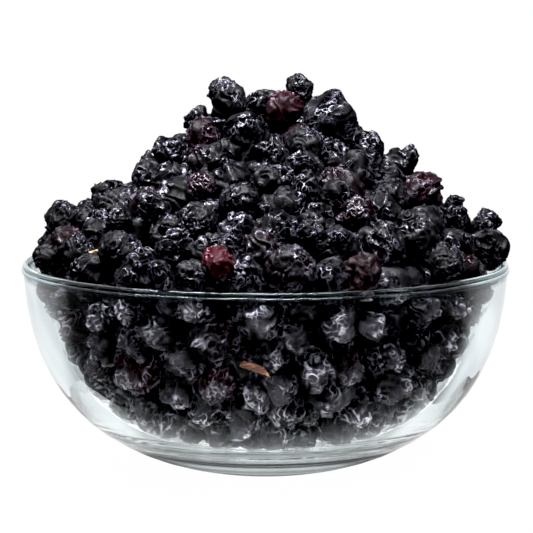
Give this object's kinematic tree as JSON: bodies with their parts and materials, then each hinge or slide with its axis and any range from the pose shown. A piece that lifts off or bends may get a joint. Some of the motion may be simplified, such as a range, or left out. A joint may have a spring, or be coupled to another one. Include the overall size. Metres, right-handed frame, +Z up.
{
  "type": "bowl of dried blueberries",
  "caption": "Round clear glass bowl with a rolled rim, filled with a cone-shaped heap of wrinkled dried blueberries.",
  "frame": {"origin": "centre of the foot's flat underside", "axes": "+Z up through the middle of the bowl; -Y towards the viewer of the picture, +X to the viewer's right"},
  "size_m": [0.12, 0.12, 0.0955],
  "materials": {
    "clear_glass": "clear, smooth, with a faint teal tint in the thick rim and base",
    "berry_skin": "wrinkled dried fruit skin, near black with a blue-violet cast, waxy gloss on the ridges, some berries burgundy",
    "bark": "rough orange-brown bark",
    "stalk": "dry tan plant stalk"
  },
  "bodies": {
    "root": {"glass_bowl": "clear_glass", "dried_blueberries": "berry_skin", "bark_sliver": "bark", "stalk_bit": "stalk"}
  },
  "joints": []
}
